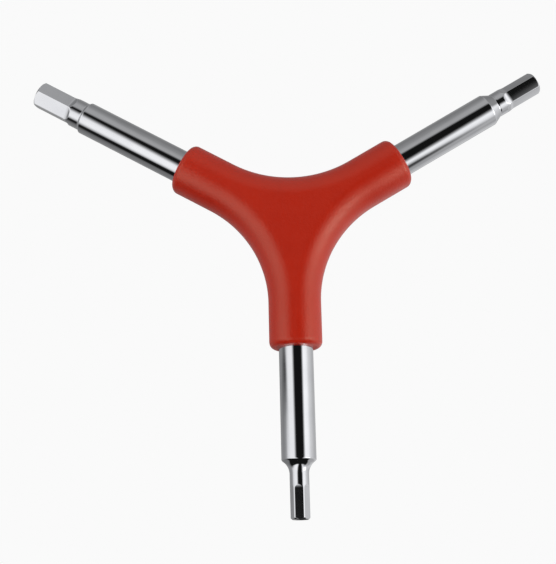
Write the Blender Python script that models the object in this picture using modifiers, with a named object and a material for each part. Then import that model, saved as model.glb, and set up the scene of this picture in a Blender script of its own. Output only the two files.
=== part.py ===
"""Three-arm hex wrench: a moulded Y handle over a steel hub and three chromed arms of 4, 5 and 6 mm.

Metres, +Z up. The tool lies on the underside of its handle. The origin is in that plane, straight
below the point where the axes of the arms cross. The 4 mm arm points along -Y.
"""

import math

import bmesh
import bpy
from mathutils import Matrix, Vector

# The round rod, the same on all three arms
ROD_DIAMETER = 0.0080
SPIGOT_DIAMETER = 0.0050
SPIGOT_END_FROM_CENTRE = 0.0026
SPIGOT_CHAMFER = 0.0004
SEAT_CHAMFER = 0.0006

# The 6 mm arm. Each length is counted outward from where the one above it ends.
ROD_REACH_6MM = 0.0580
SHOULDER_LENGTH_6MM = 0.0004
NECK_LENGTH_6MM = 0.0028
RUNOUT_LENGTH_6MM = 0.0013
FLAT_LENGTH_6MM = 0.0088
ACROSS_FLATS_6MM = 0.0060
NECK_OVER_FLATS_6MM = 0.0010
TIP_CHAMFER_6MM = 0.0005
HEX_TURN_6MM = math.radians(23.3)

# The 5 mm arm
ROD_REACH_5MM = 0.0559
SHOULDER_LENGTH_5MM = 0.0021
NECK_LENGTH_5MM = 0.0021
RUNOUT_LENGTH_5MM = 0.0019
FLAT_LENGTH_5MM = 0.0078
ACROSS_FLATS_5MM = 0.0050
NECK_OVER_FLATS_5MM = 0.0010
TIP_CHAMFER_5MM = 0.0005
HEX_TURN_5MM = math.radians(15.6)

# The 4 mm arm, whose shoulder is a hollow fillet under a small chamfer
ROD_REACH_4MM = 0.0564
SHOULDER_CHAMFER_4MM = 0.0003
FILLET_RADIUS_4MM = 0.0034
NECK_LENGTH_4MM = 0.0025
RUNOUT_LENGTH_4MM = 0.0008
FLAT_LENGTH_4MM = 0.0069
ACROSS_FLATS_4MM = 0.0040
NECK_OVER_FLATS_4MM = 0.00044
TIP_CHAMFER_4MM = 0.00035
HEX_TURN_4MM = math.radians(6.6)

# The moulded handle
SLEEVE_SIDE_WALL = 0.0022
SLEEVE_COVER_WALL = 0.0022
SLEEVE_REACH = 0.0304
WEB_RADIUS = 0.0276
SLEEVE_TOP_FLAT = 0.0008
SLEEVE_END_ROUNDING = 0.0015
SLEEVE_END_LAND = 0.0002

# The hub, a slice of hexagonal bar
HUB_ACROSS_FLATS = 0.0140
HUB_LAND = 0.0003
HUB_CHAMFER = 0.0004

# Gap between pieces that seat on each other, and how far cutters pass what they cut
SEAT_GAP = 0.0003
OVERRUN = 0.0020
RUNOUT_OVERRUN = 0.0002
WELD_DISTANCE = 0.000001

# Counts of facets
ROUND_STEPS = 48
HEX_SIDES = 6
WEB_STEPS = 14
LONG_EDGE_STEPS = 6
END_EDGE_STEPS = 4
FILLET_STEPS = 5

# The arms stand a third of a turn apart
TURN_6MM = math.radians(150)
TURN_5MM = math.radians(30)
TURN_4MM = math.radians(-90)
THIRD_TURN = math.radians(120)
HALF_THIRD_TURN = THIRD_TURN / 2
QUARTER_TURN = math.radians(90)
COPLANAR_WITHIN = math.radians(1)
SHARP_OVER = math.radians(25)

# What follows from the sizes above
ROD_RADIUS = ROD_DIAMETER / 2
SPIGOT_RADIUS = SPIGOT_DIAMETER / 2
BORE_RADIUS = ROD_RADIUS + SEAT_GAP
SLEEVE_HALF_WIDTH = ROD_RADIUS + SLEEVE_SIDE_WALL
AXIS_HEIGHT = ROD_RADIUS + SLEEVE_COVER_WALL
HUB_HALF_THICKNESS = ROD_RADIUS + HUB_LAND
HUB_FLAT_REACH = HUB_ACROSS_FLATS / 2
ROD_SEAT = HUB_FLAT_REACH + SEAT_GAP
THINNEST_SLEEVE_WALL = min(SLEEVE_SIDE_WALL, SLEEVE_COVER_WALL)
LONG_EDGE_RADIUS = min(SLEEVE_HALF_WIDTH, AXIS_HEIGHT) - SLEEVE_TOP_FLAT / 2
END_EDGE_RADIUS = min(SLEEVE_END_ROUNDING, THINNEST_SLEEVE_WALL - SEAT_GAP - SLEEVE_END_LAND)
LARGEST_WEB_RADIUS = (SLEEVE_REACH - OVERRUN) * math.tan(HALF_THIRD_TURN) - SLEEVE_HALF_WIDTH


def clear_scene():
    for thing in list(bpy.data.objects):
        bpy.data.objects.remove(thing, do_unlink=True)


def new_collection(name):
    collection = bpy.data.collections.new(name)
    bpy.context.scene.collection.children.link(collection)
    return collection


def material(name, colour, roughness, metallic):
    made = bpy.data.materials.new(name)
    made.use_nodes = True
    shader = made.node_tree.nodes["Principled BSDF"]
    shader.inputs["Base Color"].default_value = (*colour, 1.0)
    shader.inputs["Roughness"].default_value = roughness
    shader.inputs["Metallic"].default_value = metallic
    made.diffuse_color = (*colour, 1.0)
    return made


def moulded_red():
    return material("moulded_red", (0.38, 0.022, 0.012), roughness=0.5, metallic=0.0)


def chrome_plate(size):
    return material("chrome_plate_" + size, (0.75, 0.75, 0.76), roughness=0.06, metallic=1.0)


def hub_steel():
    return material("hub_steel", (0.42, 0.42, 0.43), roughness=0.4, metallic=1.0)


def add_object(name, mesh, collection):
    thing = bpy.data.objects.new(name, mesh)
    collection.objects.link(thing)
    return thing


def turned(name, profile, sides, collection):
    """A solid turned about its own Z. The profile holds (radius, height) pairs, from its top down."""
    points = [(radius, 0, height) for radius, height in profile]
    runs = [(i, i + 1) for i in range(len(points) - 1)]
    mesh = bpy.data.meshes.new(name)
    mesh.from_pydata(points, runs, [])
    thing = add_object(name, mesh, collection)
    screw = thing.modifiers.new("turn", "SCREW")
    screw.steps = sides
    screw.render_steps = sides
    screw.use_merge_vertices = True
    screw.merge_threshold = WELD_DISTANCE
    return thing


def lay_along_arm(thing, turn, roll=0.0):
    """Point the solid's own Z out along an arm, after rolling it about that axis."""
    lift = Matrix.Translation((0, 0, AXIS_HEIGHT))
    swing = Matrix.Rotation(turn, 4, "Z")
    tip_over = Matrix.Rotation(QUARTER_TURN, 4, "Y")
    thing.matrix_world = lift @ swing @ tip_over @ Matrix.Rotation(roll, 4, "Z")


def hide_cutter(thing):
    thing.hide_render = True
    thing.display_type = "WIRE"


def add_boolean(thing, operation, cutter):
    hide_cutter(cutter)
    boolean = thing.modifiers.new(operation.lower() + "_" + cutter.name, "BOOLEAN")
    boolean.operation = operation
    boolean.solver = "EXACT"
    boolean.object = cutter


def apply_shape(thing):
    """Replace the mesh by what the modifiers make of it, shaded smooth except over sharp edges."""
    bpy.context.view_layer.update()
    graph = bpy.context.evaluated_depsgraph_get()
    mesh = bpy.data.meshes.new_from_object(thing.evaluated_get(graph))
    mesh.name = thing.name
    thing.modifiers.clear()
    thing.data = mesh
    mesh.shade_smooth()
    mesh.set_sharp_from_angle(angle=SHARP_OVER)


def finish(thing, made_of):
    apply_shape(thing)
    thing.data.materials.clear()
    thing.data.materials.append(made_of)


def plain_shoulder(neck_radius, rod_reach, shoulder_length):
    """A straight cone from the rod down to the neck, listed from the neck inwards."""
    return [(neck_radius, rod_reach + shoulder_length), (ROD_RADIUS, rod_reach)]


def hollow_shoulder(neck_radius, rod_reach):
    """A hollow fillet up from the neck, then a small chamfer on the rod's edge."""
    edge_radius = ROD_RADIUS - SHOULDER_CHAMFER_4MM
    edge_reach = rod_reach + SHOULDER_CHAMFER_4MM
    rise = min(edge_radius - neck_radius, FILLET_RADIUS_4MM)
    sweep = math.acos(1 - rise / FILLET_RADIUS_4MM)
    fillet_end = edge_reach + FILLET_RADIUS_4MM * math.sin(sweep)
    profile = []
    for i in range(FILLET_STEPS + 1):
        angle = sweep * i / FILLET_STEPS
        radius = neck_radius + FILLET_RADIUS_4MM * (1 - math.cos(angle))
        profile.append((radius, fillet_end - FILLET_RADIUS_4MM * math.sin(angle)))
    if neck_radius + rise < edge_radius - WELD_DISTANCE:
        profile.append((edge_radius, edge_reach))
    profile.append((ROD_RADIUS, rod_reach))
    return profile


def arm_blank(name, neck_radius, shoulder, tip_reach, tip_chamfer, collection):
    """The turned rod: tip, neck, shoulder, plain rod, and the spigot that the hub holds."""
    tip = [(0, tip_reach), (neck_radius - tip_chamfer, tip_reach), (neck_radius, tip_reach - tip_chamfer)]
    seat = [
        (ROD_RADIUS, ROD_SEAT + SEAT_CHAMFER),
        (ROD_RADIUS - SEAT_CHAMFER, ROD_SEAT),
        (SPIGOT_RADIUS, ROD_SEAT),
    ]
    spigot = [
        (SPIGOT_RADIUS, SPIGOT_END_FROM_CENTRE + SPIGOT_CHAMFER),
        (SPIGOT_RADIUS - SPIGOT_CHAMFER, SPIGOT_END_FROM_CENTRE),
        (0, SPIGOT_END_FROM_CENTRE),
    ]
    return turned(name, tip + shoulder + seat + spigot, ROUND_STEPS, collection)


def hex_envelope(name, across_flats, neck_radius, flats_from, runout_length, tip_reach, collection):
    """What is left once six flats are milled: a hexagonal bar that flares out over the run-outs."""
    corner_share = 1 / math.cos(math.pi / HEX_SIDES)
    flat_reach = across_flats / 2
    slope = (neck_radius - flat_reach) / runout_length
    flare_length = runout_length + RUNOUT_OVERRUN
    hex_corner = flat_reach * corner_share
    flare_corner = (flat_reach + slope * flare_length) * corner_share
    outer_corner = (ROD_RADIUS + OVERRUN) * corner_share
    top = tip_reach + OVERRUN
    bottom = SPIGOT_END_FROM_CENTRE - OVERRUN
    profile = [
        (0, top),
        (hex_corner, top),
        (hex_corner, flats_from),
        (flare_corner, flats_from - flare_length),
        (outer_corner, flats_from - flare_length),
        (outer_corner, bottom),
        (0, bottom),
    ]
    return turned(name, profile, HEX_SIDES, collection)


def arm(size, sizes, turn, hex_turn, shoulder, parts, cutters):
    """One arm, all one piece: a turned rod with a hexagon milled on its neck."""
    across_flats, neck_radius, neck_length, runout_length, flat_length, tip_chamfer = sizes
    neck_from = shoulder[0][1]
    flats_from = neck_from + neck_length + runout_length
    tip_reach = flats_from + flat_length
    rod = arm_blank("arm_" + size, neck_radius, shoulder, tip_reach, tip_chamfer, parts)
    envelope = hex_envelope(
        "hex_" + size, across_flats, neck_radius, flats_from, runout_length, tip_reach, cutters
    )
    lay_along_arm(rod, turn)
    lay_along_arm(envelope, turn, hex_turn + math.pi / HEX_SIDES)
    add_boolean(rod, "INTERSECT", envelope)
    finish(rod, chrome_plate(size))


def arm_6mm(parts, cutters):
    neck_radius = (ACROSS_FLATS_6MM + NECK_OVER_FLATS_6MM) / 2
    shoulder = plain_shoulder(neck_radius, ROD_REACH_6MM, SHOULDER_LENGTH_6MM)
    sizes = (
        ACROSS_FLATS_6MM,
        neck_radius,
        NECK_LENGTH_6MM,
        RUNOUT_LENGTH_6MM,
        FLAT_LENGTH_6MM,
        TIP_CHAMFER_6MM,
    )
    arm("6mm", sizes, TURN_6MM, HEX_TURN_6MM, shoulder, parts, cutters)


def arm_5mm(parts, cutters):
    neck_radius = (ACROSS_FLATS_5MM + NECK_OVER_FLATS_5MM) / 2
    shoulder = plain_shoulder(neck_radius, ROD_REACH_5MM, SHOULDER_LENGTH_5MM)
    sizes = (
        ACROSS_FLATS_5MM,
        neck_radius,
        NECK_LENGTH_5MM,
        RUNOUT_LENGTH_5MM,
        FLAT_LENGTH_5MM,
        TIP_CHAMFER_5MM,
    )
    arm("5mm", sizes, TURN_5MM, HEX_TURN_5MM, shoulder, parts, cutters)


def arm_4mm(parts, cutters):
    neck_radius = (ACROSS_FLATS_4MM + NECK_OVER_FLATS_4MM) / 2
    shoulder = hollow_shoulder(neck_radius, ROD_REACH_4MM)
    sizes = (
        ACROSS_FLATS_4MM,
        neck_radius,
        NECK_LENGTH_4MM,
        RUNOUT_LENGTH_4MM,
        FLAT_LENGTH_4MM,
        TIP_CHAMFER_4MM,
    )
    arm("4mm", sizes, TURN_4MM, HEX_TURN_4MM, shoulder, parts, cutters)


def hex_slice(name, across_flats, half_thickness, chamfer, collection):
    """A slice of hexagonal bar, three of whose flats face the arms."""
    corner = across_flats / 2 / math.cos(math.pi / HEX_SIDES)
    profile = [
        (0, half_thickness),
        (corner - chamfer, half_thickness),
        (corner, half_thickness - chamfer),
        (corner, chamfer - half_thickness),
        (corner - chamfer, -half_thickness),
        (0, -half_thickness),
    ]
    piece = turned(name, profile, HEX_SIDES, collection)
    piece.location = (0, 0, AXIS_HEIGHT)
    return piece


def hub(parts, cutters):
    """The steel core, with a blind bore in every other flat for an arm's spigot."""
    core = hex_slice("hub", HUB_ACROSS_FLATS, HUB_HALF_THICKNESS, HUB_CHAMFER, parts)
    bore_radius = SPIGOT_RADIUS + SEAT_GAP
    bore = [
        (0, HUB_FLAT_REACH + OVERRUN),
        (bore_radius, HUB_FLAT_REACH + OVERRUN),
        (bore_radius, SPIGOT_END_FROM_CENTRE - SEAT_GAP),
        (0, SPIGOT_END_FROM_CENTRE - SEAT_GAP),
    ]
    for size, turn in (("6mm", TURN_6MM), ("5mm", TURN_5MM), ("4mm", TURN_4MM)):
        cutter = turned("spigot_bore_" + size, bore, ROUND_STEPS, cutters)
        lay_along_arm(cutter, turn)
        add_boolean(core, "DIFFERENCE", cutter)
    finish(core, hub_steel())


def handle_outline():
    """The Y seen from above: three sleeve ends, joined by hollow arcs."""
    radius = min(WEB_RADIUS, LARGEST_WEB_RADIUS)
    web_centre_reach = (SLEEVE_HALF_WIDTH + radius) / math.sin(HALF_THIRD_TURN)
    points = []
    for turn in (TURN_4MM, TURN_5MM, TURN_6MM):
        out = Vector((math.cos(turn), math.sin(turn)))
        side = Vector((-out.y, out.x))
        points.append(out * SLEEVE_REACH - side * SLEEVE_HALF_WIDTH)
        points.append(out * SLEEVE_REACH + side * SLEEVE_HALF_WIDTH)
        middle = turn + HALF_THIRD_TURN
        centre = Vector((math.cos(middle), math.sin(middle))) * web_centre_reach
        for i in range(WEB_STEPS + 1):
            angle = turn - QUARTER_TURN - HALF_THIRD_TURN * i / WEB_STEPS
            points.append(centre + Vector((math.cos(angle), math.sin(angle))) * radius)
    return points


def handle_slab(collection):
    """The outline as a flat slab of the handle's thickness, made one closed mesh."""
    curve = bpy.data.curves.new("handle_outline", "CURVE")
    curve.dimensions = "2D"
    curve.fill_mode = "BOTH"
    curve.extrude = AXIS_HEIGHT
    outline = handle_outline()
    spline = curve.splines.new("POLY")
    spline.points.add(len(outline) - 1)
    for place, point in zip(spline.points, outline):
        place.co = (point.x, point.y, 0, 1)
    spline.use_cyclic_u = True
    guide = add_object("handle_outline", curve, collection)
    bpy.context.view_layer.update()
    graph = bpy.context.evaluated_depsgraph_get()
    mesh = bpy.data.meshes.new_from_object(guide.evaluated_get(graph))
    bpy.data.objects.remove(guide, do_unlink=True)
    return mesh


def flat_end_edges(bm):
    """The edges round the three flat end faces of the sleeves."""
    edges = set()
    for turn in (TURN_4MM, TURN_5MM, TURN_6MM):
        out = Vector((math.cos(turn), math.sin(turn), 0))
        for face in bm.faces:
            if face.normal.angle(out) < COPLANAR_WITHIN:
                edges.update(face.edges)
    return edges


def round_over(bm, edges, radius, steps):
    bmesh.ops.bevel(
        bm,
        geom=list(edges),
        offset=radius,
        offset_type="OFFSET",
        segments=steps,
        profile=0.5,
        affect="EDGES",
        material=-1,
    )
    bm.normal_update()


def handle(parts, cutters):
    """The overmoulding: rounded all along its edges, hollow where the hub and the rods lie."""
    mesh = handle_slab(cutters)
    bm = bmesh.new()
    bm.from_mesh(mesh)
    bmesh.ops.remove_doubles(bm, verts=bm.verts, dist=WELD_DISTANCE)
    bmesh.ops.dissolve_limit(bm, angle_limit=COPLANAR_WITHIN, verts=bm.verts, edges=bm.edges)
    bmesh.ops.recalc_face_normals(bm, faces=bm.faces)
    end_edges = flat_end_edges(bm)
    rims = [edge for edge in bm.edges if edge.calc_face_angle() > QUARTER_TURN - COPLANAR_WITHIN]
    level = [edge for edge in rims if abs(edge.verts[0].co.z - edge.verts[1].co.z) < WELD_DISTANCE]
    round_over(bm, set(level) - end_edges, LONG_EDGE_RADIUS, LONG_EDGE_STEPS)
    round_over(bm, flat_end_edges(bm), END_EDGE_RADIUS, END_EDGE_STEPS)
    bm.to_mesh(mesh)
    bm.free()
    grip = add_object("handle", mesh, parts)
    grip.location = (0, 0, AXIS_HEIGHT)
    hub_pocket = hex_slice(
        "hub_pocket",
        HUB_ACROSS_FLATS + 2 * SEAT_GAP,
        HUB_HALF_THICKNESS + SEAT_GAP,
        HUB_CHAMFER,
        cutters,
    )
    add_boolean(grip, "DIFFERENCE", hub_pocket)
    bore = [
        (0, SLEEVE_REACH + OVERRUN),
        (BORE_RADIUS, SLEEVE_REACH + OVERRUN),
        (BORE_RADIUS, HUB_FLAT_REACH - OVERRUN),
        (0, HUB_FLAT_REACH - OVERRUN),
    ]
    for size, turn in (("6mm", TURN_6MM), ("5mm", TURN_5MM), ("4mm", TURN_4MM)):
        cutter = turned("rod_bore_" + size, bore, ROUND_STEPS, cutters)
        lay_along_arm(cutter, turn)
        add_boolean(grip, "DIFFERENCE", cutter)
    finish(grip, moulded_red())


def main():
    clear_scene()
    parts = new_collection("y_wrench")
    cutters = new_collection("cutters")
    handle(parts, cutters)
    hub(parts, cutters)
    arm_6mm(parts, cutters)
    arm_5mm(parts, cutters)
    arm_4mm(parts, cutters)


main()
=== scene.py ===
import math

import bmesh
import bpy
from mathutils import Matrix, Vector


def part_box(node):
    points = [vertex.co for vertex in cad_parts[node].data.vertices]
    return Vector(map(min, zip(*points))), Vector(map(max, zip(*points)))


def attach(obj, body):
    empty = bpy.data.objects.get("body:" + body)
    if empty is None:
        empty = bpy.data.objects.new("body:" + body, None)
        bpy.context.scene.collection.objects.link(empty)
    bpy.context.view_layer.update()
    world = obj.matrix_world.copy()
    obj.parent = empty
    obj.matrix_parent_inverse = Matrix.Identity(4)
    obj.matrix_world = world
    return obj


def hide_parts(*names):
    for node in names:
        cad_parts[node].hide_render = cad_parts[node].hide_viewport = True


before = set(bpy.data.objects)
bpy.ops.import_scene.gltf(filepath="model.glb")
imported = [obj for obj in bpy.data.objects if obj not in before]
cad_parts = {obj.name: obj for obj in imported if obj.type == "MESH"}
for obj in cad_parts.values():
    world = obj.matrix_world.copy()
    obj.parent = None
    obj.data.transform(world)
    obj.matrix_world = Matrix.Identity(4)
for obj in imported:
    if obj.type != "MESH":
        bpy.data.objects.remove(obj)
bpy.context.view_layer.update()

# Camera. It looks down on the point where the arms' axes cross, halfway up the handle, from about
# 0.29 m, and is tipped a little towards the 4 mm arm.
CAMERA_DISTANCE = 0.287595
CAMERA_SIDESTEP = -0.003515
CAMERA_DROP = -0.013865
CAMERA_TURNS = (math.radians(15.611), math.radians(0.902), math.radians(-1.573))
CAMERA_LENS = 76.59
CAMERA_NEAREST, CAMERA_FARTHEST = 0.01, 10

handle_low, handle_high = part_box("handle")
CROSSING = Vector((0, 0, handle_high.z / 2))

camera = bpy.data.objects.new("camera", bpy.data.cameras.new("camera"))
bpy.context.scene.collection.objects.link(camera)
bpy.context.scene.camera = camera
camera.data.lens = CAMERA_LENS
camera.data.clip_start = CAMERA_NEAREST
camera.data.clip_end = CAMERA_FARTHEST
tilt, lean, roll = CAMERA_TURNS
camera.matrix_world = (
    Matrix.Translation(CROSSING)
    @ Matrix.Rotation(tilt, 4, "X")
    @ Matrix.Rotation(lean, 4, "Y")
    @ Matrix.Rotation(roll, 4, "Z")
    @ Matrix.Translation((CAMERA_SIDESTEP, CAMERA_DROP, CAMERA_DISTANCE))
)


# Ground. A pale light table: the camera sees one even near-white, and the tool sees only the room,
# so that nothing dark shows round it and its metal mirrors the studio.
TABLE_WHITE = "FAFAFA"
TABLE_SIZE = 4.0
TABLE_DROP = 0.0002


def linear(hex_colour):
    """An sRGB hex colour as linear RGBA."""
    parts = [int(hex_colour[i : i + 2], 16) / 255 for i in (0, 2, 4)]
    return (*(c / 12.92 if c <= 0.04045 else ((c + 0.055) / 1.055) ** 2.4 for c in parts), 1.0)


def add_node(tree, kind, settings=None, inputs=None):
    """Adds a node. Settings are attributes, and an input is a value or another node's output."""
    made = tree.nodes.new(kind)
    for name, value in (settings or {}).items():
        setattr(made, name, value)
    for name, value in (inputs or {}).items():
        if isinstance(value, bpy.types.NodeSocket):
            tree.links.new(value, made.inputs[name])
        else:
            made.inputs[name].default_value = value
    return made


def empty_material(name):
    made = bpy.data.materials.new(name)
    made.use_nodes = True
    made.node_tree.nodes.clear()
    return made


def light_table():
    """Lit acrylic: even and near white to the camera, and clear to light and mirrors."""
    made = empty_material("light_table")
    tree = made.node_tree
    glow = add_node(tree, "ShaderNodeEmission", inputs={"Color": linear(TABLE_WHITE)})
    clear = add_node(tree, "ShaderNodeBsdfTransparent")
    ray = add_node(tree, "ShaderNodeLightPath")
    mixed = add_node(
        tree,
        "ShaderNodeMixShader",
        inputs={0: ray.outputs["Is Camera Ray"], 1: clear.outputs[0], 2: glow.outputs[0]},
    )
    add_node(tree, "ShaderNodeOutputMaterial", inputs={"Surface": mixed.outputs[0]})
    return made


def add_piece(name, bm, made_of):
    """Turns a bmesh into an object at the origin with its one material."""
    mesh = bpy.data.meshes.new(name)
    bm.to_mesh(mesh)
    bm.free()
    mesh.materials.append(made_of)
    thing = bpy.data.objects.new(name, mesh)
    bpy.context.scene.collection.objects.link(thing)
    return thing


bm = bmesh.new()
bmesh.ops.create_grid(bm, x_segments=1, y_segments=1, size=TABLE_SIZE / 2)
bmesh.ops.translate(bm, verts=bm.verts, vec=(0, 0, -TABLE_DROP))
floor = add_piece("light_table", bm, light_table())


# Studio. A light tent: softboxes left and right, a lamp on the right, a dim back, a dark gap on the
# left, a dark patch in front, and a dark opening overhead that the camera looks through. The rods
# mirror all of it as stripes. Every place is a direction: x to the right, y to the back, z up.

# The opening. Its left and right edges have a place and a slant, on a ceiling at height 1.
OPENING_LEFT, LEFT_SLANT = 0.41, 0.15
OPENING_RIGHT, RIGHT_SLANT = 0.72, 0.50
OPENING_BACK = 0.56
LEFT_BLUR = 0.20
RIGHT_BLUR = 0.25
BACK_BLUR = 0.15
OPENING_GREY = 0.008
CEILING_FROM = 0.05
SLANT_FROM, SLANT_TO = -1.5, 0.6
RIGHT_SLANT_FROM = -0.05

# The dark patch in front, an ellipse a little left of the middle. Its edge fades between two shares
# of its size, and the whole patch fades out towards the sides.
FRONT_LEFTWARD = 0.05
FRONT_WIDTH = 0.78
FRONT_HEIGHT = 0.50
FRONT_EDGE = (0.90, 1.05)
FRONT_HALF = (-0.30, -0.10)

# Where one wall gives way to the next: the start and end of each change. LEFT_TO_RIGHT and
# BACK_TO_MIDDLE are along x, SIDES_TO_BACK is along y, and the others are shares towards the back.
STEEPEST = 0.02
GAP_FRONT_EDGE = (0.20, 0.14)
GAP_BACK_EDGE = (0.20, 0.25)
LEFT_TO_FRONT = (-0.30, -0.66)
RIGHT_TO_NEAR = (0.05, -0.62)
RIGHT_TO_FRONT = (-0.64, -0.70)
LAMP_BACK_EDGE = (-0.12, -0.28)
LAMP_FRONT_EDGE = (-0.55, -0.42)
LEFT_TO_RIGHT = (-0.20, 0.20)
SIDES_TO_BACK = (0.28, 0.52)
BACK_TO_MIDDLE = (0.20, 0.04)

# How bright each wall of the tent is at a few heights, where height is the z of a direction.
BRIGHTEST = 4.0
LEFT_GAP = ((-0.78, 0.34), (0.02, 0.055), (0.19, 0.13), (0.48, 0.99), (0.60, 1.06))
LEFT_MIDDLE = ((-0.28, 0.30), (0.02, 0.40), (0.28, 0.86), (0.60, 1.06))
LEFT_FRONT = (
    (-0.50, 0.21), (0.0, 0.03), (0.13, 0.05), (0.36, 0.70), (0.48, 1.05), (0.62, 1.15),
)
RIGHT_MIDDLE = ((-0.60, 0.53), (-0.10, 0.75), (0.05, 0.80), (0.38, 1.16), (0.60, 1.20))
RIGHT_NEAR = (
    (-0.64, 0.58), (-0.44, 0.42), (-0.15, 0.53), (0.10, 0.55), (0.42, 1.00), (0.60, 1.13),
)
RIGHT_FRONT = (
    (-0.60, 0.45), (-0.12, 0.38), (0.08, 0.07), (0.20, 0.06), (0.50, 0.84), (0.60, 1.08),
)
RIGHT_LAMP = ((0.05, 0.70), (0.25, 2.60), (0.42, 4.00), (0.56, 4.00), (0.68, 1.15))
BACK_SIDES = ((-0.60, 0.28), (-0.20, 0.23), (0.40, 0.31), (0.78, 0.42))
BACK_MIDDLE = ((-0.60, 0.34), (-0.20, 0.30), (0.28, 0.47), (0.78, 0.44))

world = bpy.data.worlds.new("light_tent")
bpy.context.scene.world = world
world.use_nodes = True
tree = world.node_tree
tree.nodes.clear()
direction = add_node(tree, "ShaderNodeTexCoord").outputs["Generated"]
split = add_node(tree, "ShaderNodeSeparateXYZ", inputs={0: direction})
x, y, z = split.outputs["X"], split.outputs["Y"], split.outputs["Z"]


def combined(operation, *values):
    """One Math node on outputs or numbers."""
    made = add_node(tree, "ShaderNodeMath", {"operation": operation}, dict(enumerate(values)))
    return made.outputs[0]


def eased(value, low, high):
    """Rises smoothly from 0 to 1 as value goes from low to high."""
    return add_node(
        tree,
        "ShaderNodeMapRange",
        {"interpolation_type": "SMOOTHSTEP"},
        {"Value": value, "From Min": low, "From Max": high},
    ).outputs[0]


def by_height(stops):
    """Brightness from a colour ramp on the direction's height."""
    spread = add_node(
        tree, "ShaderNodeMapRange", inputs={"Value": z, "From Min": -1.0, "From Max": 1.0}
    )
    made = add_node(tree, "ShaderNodeValToRGB", inputs={"Fac": spread.outputs[0]})
    elements = made.color_ramp.elements
    places = [(height + 1) / 2 for height, level in stops]
    greys = [(*[level / BRIGHTEST] * 3, 1.0) for height, level in stops]
    elements[0].position, elements[0].color = places[0], greys[0]
    elements[1].position, elements[1].color = places[-1], greys[-1]
    for place, grey in zip(places[1:-1], greys[1:-1]):
        elements.new(place).color = grey
    return combined("MULTIPLY", made.outputs["Color"], BRIGHTEST)


def blend(share, first, second):
    """First where share is 0, second where it is 1."""
    change = combined("SUBTRACT", second, first)
    return combined("ADD", first, combined("MULTIPLY", share, change))


def squared(value):
    return combined("MULTIPLY", value, value)


# The walls, going round level. towards_back is -1 straight in front and 1 straight behind.
level_part = combined("SQRT", combined("SUBTRACT", 1.0, squared(z)))
towards_back = combined("DIVIDE", y, combined("MAXIMUM", level_part, STEEPEST))
off_gap = combined(
    "MAXIMUM", eased(towards_back, *GAP_FRONT_EDGE), eased(towards_back, *GAP_BACK_EDGE)
)
left = blend(off_gap, by_height(LEFT_GAP), by_height(LEFT_MIDDLE))
left = blend(eased(towards_back, *LEFT_TO_FRONT), left, by_height(LEFT_FRONT))
right = blend(
    eased(towards_back, *RIGHT_TO_NEAR), by_height(RIGHT_MIDDLE), by_height(RIGHT_NEAR)
)
right = blend(eased(towards_back, *RIGHT_TO_FRONT), right, by_height(RIGHT_FRONT))
on_lamp = combined(
    "MULTIPLY", eased(towards_back, *LAMP_BACK_EDGE), eased(towards_back, *LAMP_FRONT_EDGE)
)
right = blend(on_lamp, right, by_height(RIGHT_LAMP))
sides = blend(eased(x, *LEFT_TO_RIGHT), left, right)
sideways = combined("ABSOLUTE", x)
back = blend(eased(sideways, *BACK_TO_MIDDLE), by_height(BACK_SIDES), by_height(BACK_MIDDLE))
room = blend(eased(y, *SIDES_TO_BACK), sides, back)

# The dark patch in front.
front_across = combined("DIVIDE", combined("ADD", x, FRONT_LEFTWARD), FRONT_WIDTH)
front_up = combined("DIVIDE", z, FRONT_HEIGHT)
front_reach = combined("SQRT", combined("ADD", squared(front_across), squared(front_up)))
clear_of_front = combined("MAXIMUM", eased(front_reach, *FRONT_EDGE), eased(y, *FRONT_HALF))
room = combined("MULTIPLY", room, clear_of_front)

# The opening overhead.
upward = combined("MAXIMUM", z, CEILING_FROM)
across = combined("DIVIDE", x, upward)
along = combined("DIVIDE", y, upward)
slanted = combined("MINIMUM", combined("MAXIMUM", along, SLANT_FROM), SLANT_TO)
left_edge = combined("ADD", OPENING_LEFT, combined("MULTIPLY", slanted, LEFT_SLANT))
slanted = combined("MAXIMUM", slanted, RIGHT_SLANT_FROM)
right_edge = combined("ADD", OPENING_RIGHT, combined("MULTIPLY", slanted, RIGHT_SLANT))
dark = combined(
    "MULTIPLY",
    eased(combined("ADD", left_edge, across), -LEFT_BLUR, LEFT_BLUR),
    eased(combined("SUBTRACT", right_edge, across), -RIGHT_BLUR, RIGHT_BLUR),
)
short_of_back = eased(combined("SUBTRACT", OPENING_BACK, along), -BACK_BLUR, BACK_BLUR)
dark = combined("MULTIPLY", dark, short_of_back)
lit = combined("MULTIPLY", room, combined("SUBTRACT", 1.0, dark))
lit = combined("ADD", lit, OPENING_GREY)

ray = add_node(tree, "ShaderNodeLightPath")
seen = add_node(
    tree,
    "ShaderNodeMixRGB",
    inputs={"Fac": ray.outputs["Is Camera Ray"], "Color1": lit, "Color2": linear(TABLE_WHITE)},
)
background = add_node(tree, "ShaderNodeBackground", inputs={"Color": seen.outputs[0]})
add_node(tree, "ShaderNodeOutputWorld", inputs={"Surface": background.outputs[0]})
bpy.context.scene.view_settings.view_transform = "Standard"


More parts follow.
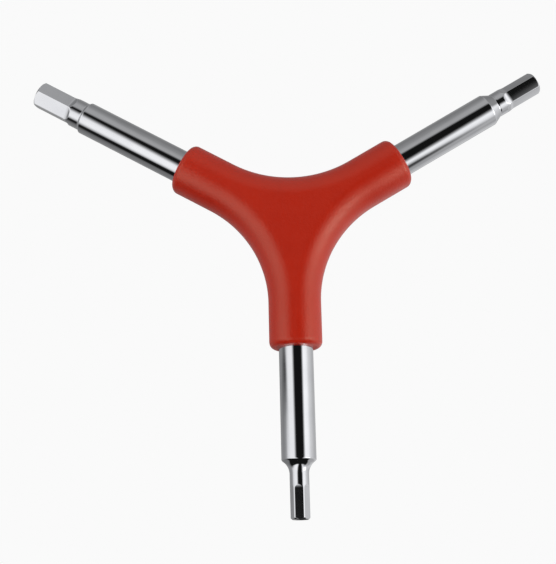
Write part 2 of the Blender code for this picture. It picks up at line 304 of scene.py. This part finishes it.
# Handle. The real grip is one polypropylene moulding over the steel, a Y of round sleeves with a
# flat middle. The mould leaves a fine matte grain, and the plastic closes tightly on the rods.
ARM_TURNS = {"6mm": math.radians(150), "5mm": math.radians(30), "4mm": math.radians(-90)}
SLEEVE_WIDTH = handle_high.z - handle_low.z
SLEEVE_REACH = 0.0304
WEB_RADIUS = 0.0276
SLEEVE_FLAT = 0.0008
SLEEVE_END_ROUNDING = 0.0015
FLAT_BORDER = 0.00015
ROD_RADIUS = 0.0040
ROD_FIT = 0.00002
HUB_CLEARANCE = 0.0003
BORE_OVERRUN = 0.00304
WEB_STEPS = 48
LONG_EDGE_STEPS = 20
END_EDGE_STEPS = 8
BORE_SIDES = 128
SMOOTH_UNDER = math.radians(15)
SAME_DIRECTION = 0.9999
WELD = 0.000001


def along_arm(turn):
    """Takes a shape made along +Z from the origin to its place along an arm."""
    swing = Matrix.Rotation(turn, 4, "Z")
    return Matrix.Translation(CROSSING) @ swing @ Matrix.Rotation(math.radians(90), 4, "Y")


def shaded(thing):
    """Shades a piece smooth, with its true edges left sharp."""
    thing.data.shade_smooth()
    thing.data.set_sharp_from_angle(angle=SMOOTH_UNDER)
    return thing


def round_over(bm, edges, radius, steps):
    """Rounds edges to a radius."""
    bmesh.ops.bevel(
        bm,
        geom=edges,
        offset=radius,
        offset_type="OFFSET",
        segments=steps,
        profile=0.5,
        affect="EDGES",
        material=-1,
    )
    bm.normal_update()


def faces_towards(bm, directions):
    """The faces whose normals point along one of the directions."""
    return [f for f in bm.faces if any(f.normal.dot(d) > SAME_DIRECTION for d in directions)]


def y_slab(bm):
    """The outline of the Y, filled and given the handle's thickness."""
    half_width = SLEEVE_WIDTH / 2
    half_third = math.radians(60)
    web_reach = (half_width + WEB_RADIUS) / math.sin(half_third)
    chain = []
    for turn in sorted(ARM_TURNS.values()):
        out = Vector((math.cos(turn), math.sin(turn), 0))
        side = Vector((-out.y, out.x, 0))
        chain.append(bm.verts.new(out * SLEEVE_REACH - side * half_width))
        chain.append(bm.verts.new(out * SLEEVE_REACH + side * half_width))
        middle = Vector((math.cos(turn + half_third), math.sin(turn + half_third), 0)) * web_reach
        first = bm.verts.new(middle - side * WEB_RADIUS)
        before = set(bm.verts)
        bmesh.ops.spin(
            bm, geom=[first], cent=middle, axis=(0, 0, 1), angle=-half_third, steps=WEB_STEPS
        )
        chain.append(first)
        chain += [v for v in bm.verts if v not in before]
    for near, far in zip(chain, chain[1:] + chain[:1]):
        if not any(e.other_vert(near) is far for e in near.link_edges):
            bm.edges.new((near, far))
    bmesh.ops.contextual_create(bm, geom=bm.edges)
    bmesh.ops.translate(bm, verts=bm.verts, vec=(0, 0, handle_low.z))
    raised = bmesh.ops.extrude_face_region(bm, geom=bm.faces[:], use_keep_orig=True)
    top = [g for g in raised["geom"] if isinstance(g, bmesh.types.BMVert)]
    bmesh.ops.translate(bm, verts=top, vec=(0, 0, SLEEVE_WIDTH))
    bmesh.ops.recalc_face_normals(bm, faces=bm.faces)


def cutter(name, radius, low, high, turn):
    """A plain round cutter along an arm. It is deleted once it has cut."""
    bm = bmesh.new()
    bmesh.ops.create_cone(
        bm,
        cap_ends=True,
        segments=BORE_SIDES,
        radius1=radius,
        radius2=radius,
        depth=high - low,
        matrix=along_arm(turn) @ Matrix.Translation((0, 0, (low + high) / 2)),
    )
    mesh = bpy.data.meshes.new(name)
    bm.to_mesh(mesh)
    bm.free()
    thing = bpy.data.objects.new(name, mesh)
    bpy.context.scene.collection.objects.link(thing)
    return thing


def cut_away(thing, cutters):
    """Cuts solids from a piece, welds the result as its mesh, and deletes the cutters."""
    for tool in cutters:
        boolean = thing.modifiers.new("cut", "BOOLEAN")
        boolean.solver = "EXACT"
        boolean.object = tool
    bpy.context.view_layer.update()
    graph = bpy.context.evaluated_depsgraph_get()
    mesh = bpy.data.meshes.new_from_object(thing.evaluated_get(graph))
    thing.modifiers.clear()
    bm = bmesh.new()
    bm.from_mesh(mesh)
    bmesh.ops.remove_doubles(bm, verts=bm.verts, dist=WELD)
    bmesh.ops.dissolve_degenerate(bm, edges=bm.edges, dist=WELD)
    bm.to_mesh(mesh)
    bm.free()
    thing.data = mesh
    for tool in cutters:
        bpy.data.objects.remove(tool, do_unlink=True)


GRIP_RED = "EE2A08"
GRIP_DEEP_RED = "E22406"
SHEEN_WARMTH = "FFE4C8"
# The mould's real grain is under 0.1 mm. It is drawn coarser, because it wouldn't show otherwise.
GRAIN_SIZE = 0.00045
GRAIN_DEPTH = 0.00012
GRAIN_STRENGTH = 0.6
GRAIN_DETAIL = 3.0
GRAIN_ROUGHNESS = 0.6
MOTTLE_SIZE = 0.006
MOTTLE_DETAIL = 2.0
GRIP_SMOOTHEST, GRIP_ROUGHEST = 0.22, 0.50
POLYPROPYLENE_IOR = 1.49
SHEEN = 0.95
SKIN_SHEEN = 0.15
SKIN_ROUGHNESS = 0.25


def moulded_polypropylene():
    """Polypropylene from an etched mould: an even red with a fine matte grain and a soft sheen."""
    made = empty_material("moulded_polypropylene")
    tree = made.node_tree
    place = add_node(tree, "ShaderNodeTexCoord").outputs["Object"]
    grain = add_node(
        tree,
        "ShaderNodeTexNoise",
        inputs={
            "Vector": place,
            "Scale": 1 / GRAIN_SIZE,
            "Detail": GRAIN_DETAIL,
            "Roughness": GRAIN_ROUGHNESS,
        },
    )
    mottle = add_node(
        tree,
        "ShaderNodeTexNoise",
        inputs={"Vector": place, "Scale": 1 / MOTTLE_SIZE, "Detail": MOTTLE_DETAIL},
    )
    colour = add_node(
        tree,
        "ShaderNodeMixRGB",
        inputs={
            "Fac": mottle.outputs["Fac"],
            "Color1": linear(GRIP_RED),
            "Color2": linear(GRIP_DEEP_RED),
        },
    )
    rough = add_node(
        tree,
        "ShaderNodeMapRange",
        inputs={
            "Value": grain.outputs["Fac"],
            "To Min": GRIP_SMOOTHEST,
            "To Max": GRIP_ROUGHEST,
        },
    )
    bump = add_node(
        tree,
        "ShaderNodeBump",
        inputs={
            "Height": grain.outputs["Fac"],
            "Strength": GRAIN_STRENGTH,
            "Distance": GRAIN_DEPTH,
        },
    )
    shader = add_node(
        tree,
        "ShaderNodeBsdfPrincipled",
        inputs={
            "Base Color": colour.outputs[0],
            "Roughness": rough.outputs[0],
            "IOR": POLYPROPYLENE_IOR,
            "Specular IOR Level": SHEEN,
            "Specular Tint": linear(SHEEN_WARMTH),
            "Coat Weight": SKIN_SHEEN,
            "Coat Roughness": SKIN_ROUGHNESS,
            "Normal": bump.outputs[0],
            "Coat Normal": bump.outputs[0],
        },
    )
    add_node(tree, "ShaderNodeOutputMaterial", inputs={"Surface": shader.outputs[0]})
    return made


bm = bmesh.new()
y_slab(bm)
arm_directions = [Vector((math.cos(turn), math.sin(turn), 0)) for turn in ARM_TURNS.values()]
end_edges = {e for f in faces_towards(bm, arm_directions) for e in f.edges}
level = [e for e in bm.edges if abs(e.verts[0].co.z - e.verts[1].co.z) < FLAT_BORDER]
long_edges = [e for e in level if e not in end_edges]
round_over(bm, long_edges, (SLEEVE_WIDTH - SLEEVE_FLAT) / 2, LONG_EDGE_STEPS)
end_edges = {e for f in faces_towards(bm, arm_directions) for e in f.edges}
round_over(bm, [e for e in bm.edges if e in end_edges], SLEEVE_END_ROUNDING, END_EDGE_STEPS)
flats = faces_towards(bm, [Vector((0, 0, 1)), Vector((0, 0, -1))])
bmesh.ops.inset_individual(bm, faces=flats, thickness=FLAT_BORDER)
grip = add_piece("grip", bm, moulded_polypropylene())
hub_low, hub_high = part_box("hub")
bores = [
    cutter("bore", ROD_RADIUS + ROD_FIT, hub_high.y, SLEEVE_REACH + BORE_OVERRUN, turn)
    for turn in ARM_TURNS.values()
]
pocket_bm = bmesh.new()
bmesh.ops.create_cone(
    pocket_bm,
    cap_ends=True,
    segments=BORE_SIDES,
    radius1=hub_high.x + HUB_CLEARANCE,
    radius2=hub_high.x + HUB_CLEARANCE,
    depth=hub_high.z - hub_low.z + 2 * HUB_CLEARANCE,
    matrix=Matrix.Translation(CROSSING),
)
pocket = add_piece("pocket", pocket_bm, grip.data.materials[0])
cut_away(grip, bores + [pocket])
shaded(grip)
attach(grip, "root")
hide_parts("handle")


# Arms. Each real arm is one chrome vanadium rod, turned down to a neck, milled to a hexagon,
# polished and chrome plated. The flats run out into the neck where the milling cutter lifts.
SPIGOT_RADIUS = 0.0025
SPIGOT_END = 0.0026
ON_AXIS = 0.00026
ROD_SEAT = 0.0073
SEAT_CHAMFER = 0.0006
FILLET_RADIUS = 0.0034
FILLET_EDGE = 0.0003
FILLET_STEPS = 12
TIP_SOFTNESS = 0.00006
SHOULDER_SOFTNESS = 0.00015
UNDERCUT_WIDTH = 0.0003
# Rows this far from a shoulder keep the shading of the long faces even.
SUPPORT = 0.0004
CORNER_STEPS = 5
ROUND_SIDES = 240
ROW_LENGTH = 0.0001
FACET_TURN = math.pi / 3
HALF_FACET = math.pi / 6

CHROME_GREY = "E4E5E8"
CHROME_DULL = "D6D7DB"
RIPPLE_SIZE = 0.004
RIPPLE_DEPTH = 0.00002
RIPPLE_STRENGTH = 0.3
RIPPLE_DETAIL = 1.0
# Real polishing lines are a few hundredths of a millimetre apart. They are drawn coarser, because
# they wouldn't show otherwise.
LINE_SIZE = 0.00025
LINE_LENGTH = 0.025
LINE_DEPTH = 0.000004
LINE_STRENGTH = 0.05
CHROME_SMOOTHEST, CHROME_ROUGHEST = 0.04, 0.09


def chrome_plate(size, turn):
    """Polished chrome plate: a near mirror, with faint ripple and hairlines round the rod."""
    made = empty_material("chrome_plate_" + size)
    tree = made.node_tree
    place = add_node(tree, "ShaderNodeTexCoord").outputs["Object"]
    turned = add_node(
        tree, "ShaderNodeMapping", inputs={"Vector": place, "Rotation": (0, 0, -turn)}
    )
    stretched = add_node(
        tree,
        "ShaderNodeMapping",
        inputs={
            "Vector": turned.outputs[0],
            "Scale": (1 / LINE_SIZE, 1 / LINE_LENGTH, 1 / LINE_LENGTH),
        },
    )
    lines = add_node(
        tree, "ShaderNodeTexNoise", inputs={"Vector": stretched.outputs[0], "Scale": 1.0}
    )
    ripple = add_node(
        tree,
        "ShaderNodeTexNoise",
        inputs={"Vector": place, "Scale": 1 / RIPPLE_SIZE, "Detail": RIPPLE_DETAIL},
    )
    tone = add_node(
        tree,
        "ShaderNodeMixRGB",
        inputs={
            "Fac": ripple.outputs["Fac"],
            "Color1": linear(CHROME_GREY),
            "Color2": linear(CHROME_DULL),
        },
    )
    rough = add_node(
        tree,
        "ShaderNodeMapRange",
        inputs={
            "Value": lines.outputs["Fac"],
            "To Min": CHROME_SMOOTHEST,
            "To Max": CHROME_ROUGHEST,
        },
    )
    fine = add_node(
        tree,
        "ShaderNodeBump",
        inputs={
            "Height": lines.outputs["Fac"],
            "Strength": LINE_STRENGTH,
            "Distance": LINE_DEPTH,
        },
    )
    bump = add_node(
        tree,
        "ShaderNodeBump",
        inputs={
            "Height": ripple.outputs["Fac"],
            "Strength": RIPPLE_STRENGTH,
            "Distance": RIPPLE_DEPTH,
            "Normal": fine.outputs[0],
        },
    )
    shader = add_node(
        tree,
        "ShaderNodeBsdfPrincipled",
        inputs={
            "Base Color": tone.outputs[0],
            "Metallic": 1.0,
            "Roughness": rough.outputs[0],
            "Normal": bump.outputs[0],
        },
    )
    add_node(tree, "ShaderNodeOutputMaterial", inputs={"Surface": shader.outputs[0]})
    return made


def soft_min(a, b, softness):
    """The smaller of two lengths, rounded over where they cross."""
    overlap = max(softness - abs(a - b), 0)
    return min(a, b) - overlap * overlap / (4 * softness)


def mill_flats(
    bm, flat_reach, neck_radius, flats_from, runout, hex_turn, edge_softness, crown
):
    """Mills six flats into the neck. They rise out over the run-out on the cutter's arc."""
    depth = neck_radius - flat_reach
    cutter_radius = (runout * runout + depth * depth) / (2 * depth)
    corner = (flat_reach - crown) / math.cos(HALF_FACET)
    for v in bm.verts:
        radius = math.hypot(v.co.x, v.co.y)
        back = flats_from - v.co.z
        if radius < ON_AXIS or back >= runout:
            continue
        lift = cutter_radius - math.sqrt(cutter_radius**2 - max(back, 0) ** 2)
        angle = math.atan2(v.co.y, v.co.x) - hex_turn
        angle = (angle + HALF_FACET) % FACET_TURN - HALF_FACET
        drop = crown * (math.tan(angle) / math.tan(HALF_FACET)) ** 2
        flat = (flat_reach + lift - drop) / math.cos(angle)
        limit = min(radius, corner + lift) if back <= 0 else radius
        milled = soft_min(limit, flat, edge_softness)
        if milled < radius:
            v.co.x *= milled / radius
            v.co.y *= milled / radius


def soften_corners(bm, corners, softness):
    """Rounds corners of a profile, as a worn tool and the polishing leave them."""
    bmesh.ops.bevel(
        bm,
        geom=corners,
        offset=softness,
        offset_type="OFFSET",
        segments=CORNER_STEPS,
        profile=0.5,
        affect="VERTICES",
        material=-1,
    )


def longest_edge(bm, beyond):
    """The longest edge of a profile past a place along it, without the end face."""
    past = [e for e in bm.edges if all(v.co.z > beyond and v.co.x > 0 for v in e.verts)]
    return max(past, key=bmesh.types.BMEdge.calc_length)


def arm(
    size,
    hex_turn,
    across_flats,
    edge_softness,
    neck_radius,
    rod_reach,
    shoulder,
    neck_length,
    runout,
    flat_length,
    tip_chamfer,
    undercut=0.0,
    crown=0.0,
):
    """Turns the blank, cuts its rows fine near the hexagon, mills it and lays it in place."""
    bm = bmesh.new()
    if shoulder == "fillet":
        sweep = math.acos(1 - (ROD_RADIUS - FILLET_EDGE - neck_radius) / FILLET_RADIUS)
        neck_from = rod_reach + FILLET_EDGE + FILLET_RADIUS * math.sin(sweep)
    else:
        neck_from = rod_reach + shoulder
    flats_from = neck_from + neck_length + runout
    tip = flats_from + flat_length
    foot = bm.verts.new((neck_radius - undercut, 0, neck_from))
    chain = [
        bm.verts.new((0, 0, tip)),
        bm.verts.new((neck_radius - tip_chamfer, 0, tip)),
        bm.verts.new((neck_radius, 0, tip - tip_chamfer)),
        bm.verts.new((neck_radius, 0, neck_from + SUPPORT)),
    ]
    if undercut:
        chain.append(bm.verts.new((neck_radius, 0, neck_from + UNDERCUT_WIDTH)))
    chain.append(foot)
    corners = chain[1:3]
    if shoulder == "fillet":
        before = set(bm.verts)
        centre = (neck_radius + FILLET_RADIUS, 0, neck_from)
        bmesh.ops.spin(
            bm, geom=[foot], cent=centre, axis=(0, 1, 0), angle=-sweep, steps=FILLET_STEPS
        )
        chain += [v for v in bm.verts if v not in before]
    else:
        corners.append(foot)
    rod_edge = bm.verts.new((ROD_RADIUS, 0, rod_reach))
    corners.append(rod_edge)
    chain += [
        rod_edge,
        bm.verts.new((ROD_RADIUS, 0, rod_reach - SUPPORT)),
        bm.verts.new((ROD_RADIUS, 0, ROD_SEAT + SEAT_CHAMFER)),
        bm.verts.new((ROD_RADIUS - SEAT_CHAMFER, 0, ROD_SEAT)),
        bm.verts.new((SPIGOT_RADIUS, 0, ROD_SEAT)),
        bm.verts.new((SPIGOT_RADIUS, 0, SPIGOT_END)),
        bm.verts.new((0, 0, SPIGOT_END)),
    ]
    for near, far in zip(chain, chain[1:]):
        if not any(e.other_vert(near) is far for e in near.link_edges):
            bm.edges.new((near, far))
    soften_corners(bm, corners[:2], TIP_SOFTNESS)
    soften_corners(bm, corners[2:], SHOULDER_SOFTNESS)
    neck = longest_edge(bm, rod_reach)
    chamfer = longest_edge(bm, tip - tip_chamfer)
    for edge in (neck, chamfer):
        rows = math.ceil(edge.calc_length() / ROW_LENGTH)
        bmesh.ops.subdivide_edges(bm, edges=[edge], cuts=rows)
    bmesh.ops.spin(
        bm,
        geom=bm.verts[:] + bm.edges[:],
        cent=(0, 0, 0),
        axis=(0, 0, 1),
        angle=math.tau,
        steps=ROUND_SIDES,
        use_merge=True,
    )
    bmesh.ops.remove_doubles(bm, verts=bm.verts, dist=WELD)
    bmesh.ops.rotate(bm, verts=bm.verts, matrix=Matrix.Rotation(hex_turn, 3, "Z"))
    mill_flats(
        bm, across_flats / 2, neck_radius, flats_from, runout, hex_turn, edge_softness, crown
    )
    bmesh.ops.recalc_face_normals(bm, faces=bm.faces)
    turn = ARM_TURNS[size]
    bmesh.ops.transform(bm, matrix=along_arm(turn), verts=bm.verts)
    rod = shaded(add_piece("rod_" + size, bm, chrome_plate(size, turn)))
    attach(rod, "root")
    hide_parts("arm_" + size)


arm(
    "6mm",
    hex_turn=math.radians(23.3),
    across_flats=0.0060,
    edge_softness=0.00006,
    neck_radius=0.0035,
    rod_reach=0.0580,
    shoulder=0.0004,
    neck_length=0.0028,
    runout=0.0013,
    flat_length=0.0088,
    tip_chamfer=0.0005,
)
arm(
    "5mm",
    hex_turn=math.radians(15.6),
    across_flats=0.0050,
    edge_softness=0.00010,
    neck_radius=0.0030,
    rod_reach=0.0559,
    shoulder=0.0021,
    neck_length=0.0021,
    runout=0.0019,
    flat_length=0.0078,
    tip_chamfer=0.0005,
    undercut=0.00005,
    crown=0.00003,
)
arm(
    "4mm",
    hex_turn=math.radians(6.6),
    across_flats=0.0040,
    edge_softness=0.00003,
    neck_radius=0.00222,
    rod_reach=0.0564,
    shoulder="fillet",
    neck_length=0.0025,
    runout=0.0008,
    flat_length=0.0069,
    tip_chamfer=0.00035,
)


# Hub. The steel core inside the handle is sawn from hexagonal bar and drilled, and nothing is done
# to its surface, because the moulding hides it.
HUB_STEEL = "A9AAAC"
SAW_MARK_SIZE = 0.00025
SAW_MARK_LENGTH = 0.00833
SAW_MARK_DEPTH = 0.00003
SAW_MARK_STRENGTH = 0.3
HUB_SMOOTHEST, HUB_ROUGHEST = 0.3, 0.5


def sawn_steel():
    """Plain carbon steel as the saw leaves it: grey, dull, with fine straight marks."""
    made = empty_material("sawn_steel")
    tree = made.node_tree
    place = add_node(tree, "ShaderNodeTexCoord").outputs["Object"]
    stretched = add_node(
        tree,
        "ShaderNodeMapping",
        inputs={
            "Vector": place,
            "Scale": (1 / SAW_MARK_SIZE, 1 / SAW_MARK_LENGTH, 1 / SAW_MARK_LENGTH),
        },
    )
    marks = add_node(
        tree, "ShaderNodeTexNoise", inputs={"Vector": stretched.outputs[0], "Scale": 1.0}
    )
    bump = add_node(
        tree,
        "ShaderNodeBump",
        inputs={
            "Height": marks.outputs["Fac"],
            "Strength": SAW_MARK_STRENGTH,
            "Distance": SAW_MARK_DEPTH,
        },
    )
    rough = add_node(
        tree,
        "ShaderNodeMapRange",
        inputs={
            "Value": marks.outputs["Fac"],
            "To Min": HUB_SMOOTHEST,
            "To Max": HUB_ROUGHEST,
        },
    )
    shader = add_node(
        tree,
        "ShaderNodeBsdfPrincipled",
        inputs={
            "Base Color": linear(HUB_STEEL),
            "Metallic": 1.0,
            "Roughness": rough.outputs[0],
            "Normal": bump.outputs[0],
        },
    )
    add_node(tree, "ShaderNodeOutputMaterial", inputs={"Surface": shader.outputs[0]})
    return made


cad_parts["hub"].material_slots[0].material = sawn_steel()
